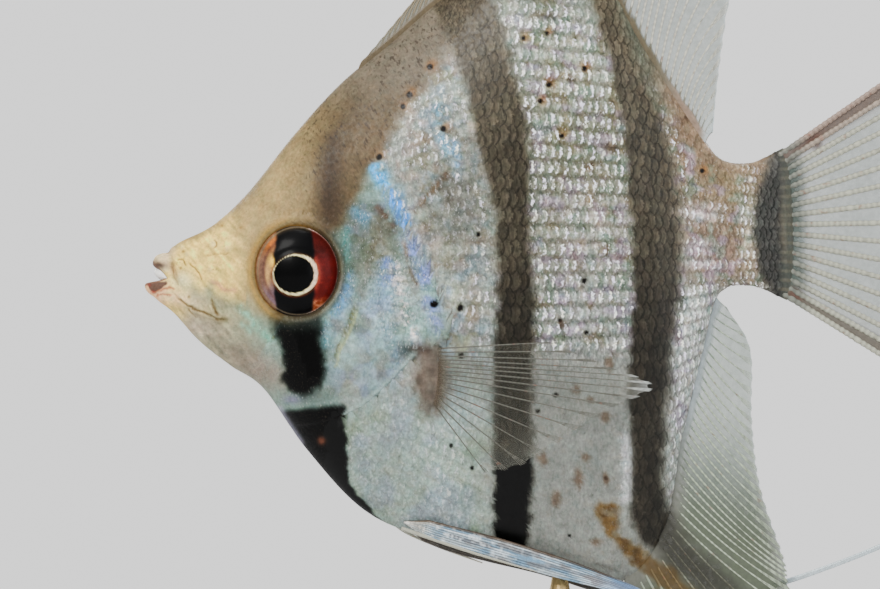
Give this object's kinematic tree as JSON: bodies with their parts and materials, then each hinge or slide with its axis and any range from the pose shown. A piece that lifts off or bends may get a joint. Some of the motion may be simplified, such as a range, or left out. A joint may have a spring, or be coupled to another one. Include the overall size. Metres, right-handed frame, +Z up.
{
  "type": "freshwater angelfish",
  "caption": "Life-size still model of a freshwater angelfish: disc-shaped body, tall swept fins, dark bars, held on a rod above a flat base.",
  "frame": {"origin": "middle of the underside of the stand's base, under the rod that holds the fish", "axes": "the fish faces -X, its left side faces -Y, and +Z is up"},
  "size_m": [0.111, 0.056, 0.181],
  "materials": {
    "head_skin": "tan to silver grey skin with a wet satin gloss, finely freckled, dark bar below the eye",
    "body_skin": "silver grey overlapping scales with dark upright bars, brown spots and bright glints, satin gloss",
    "eye": "clear wet cornea over a dark red and black iris with a cream ring round a black pupil",
    "fin": "thin clear membrane between pale jointed rays",
    "stand_wood": "dark oiled walnut with a satin surface",
    "stand_brass": "turned and polished brass"
  },
  "bodies": {
    "root": {"head": "head_skin", "upper_jaw": "head_skin", "lower_jaw": "head_skin", "gill_cover_left": "head_skin", "gill_cover_right": "head_skin", "trunk": "body_skin", "tail": "body_skin", "eye_left": "eye", "eye_right": "eye", "dorsal_fin": "fin", "anal_fin": "fin", "caudal_fin": "fin", "pectoral_fin_left": "fin", "pectoral_fin_right": "fin", "pelvic_fin_left": "fin", "pelvic_fin_right": "fin", "stand_base": "stand_wood", "stand_rod": "stand_brass"}
  },
  "joints": []
}
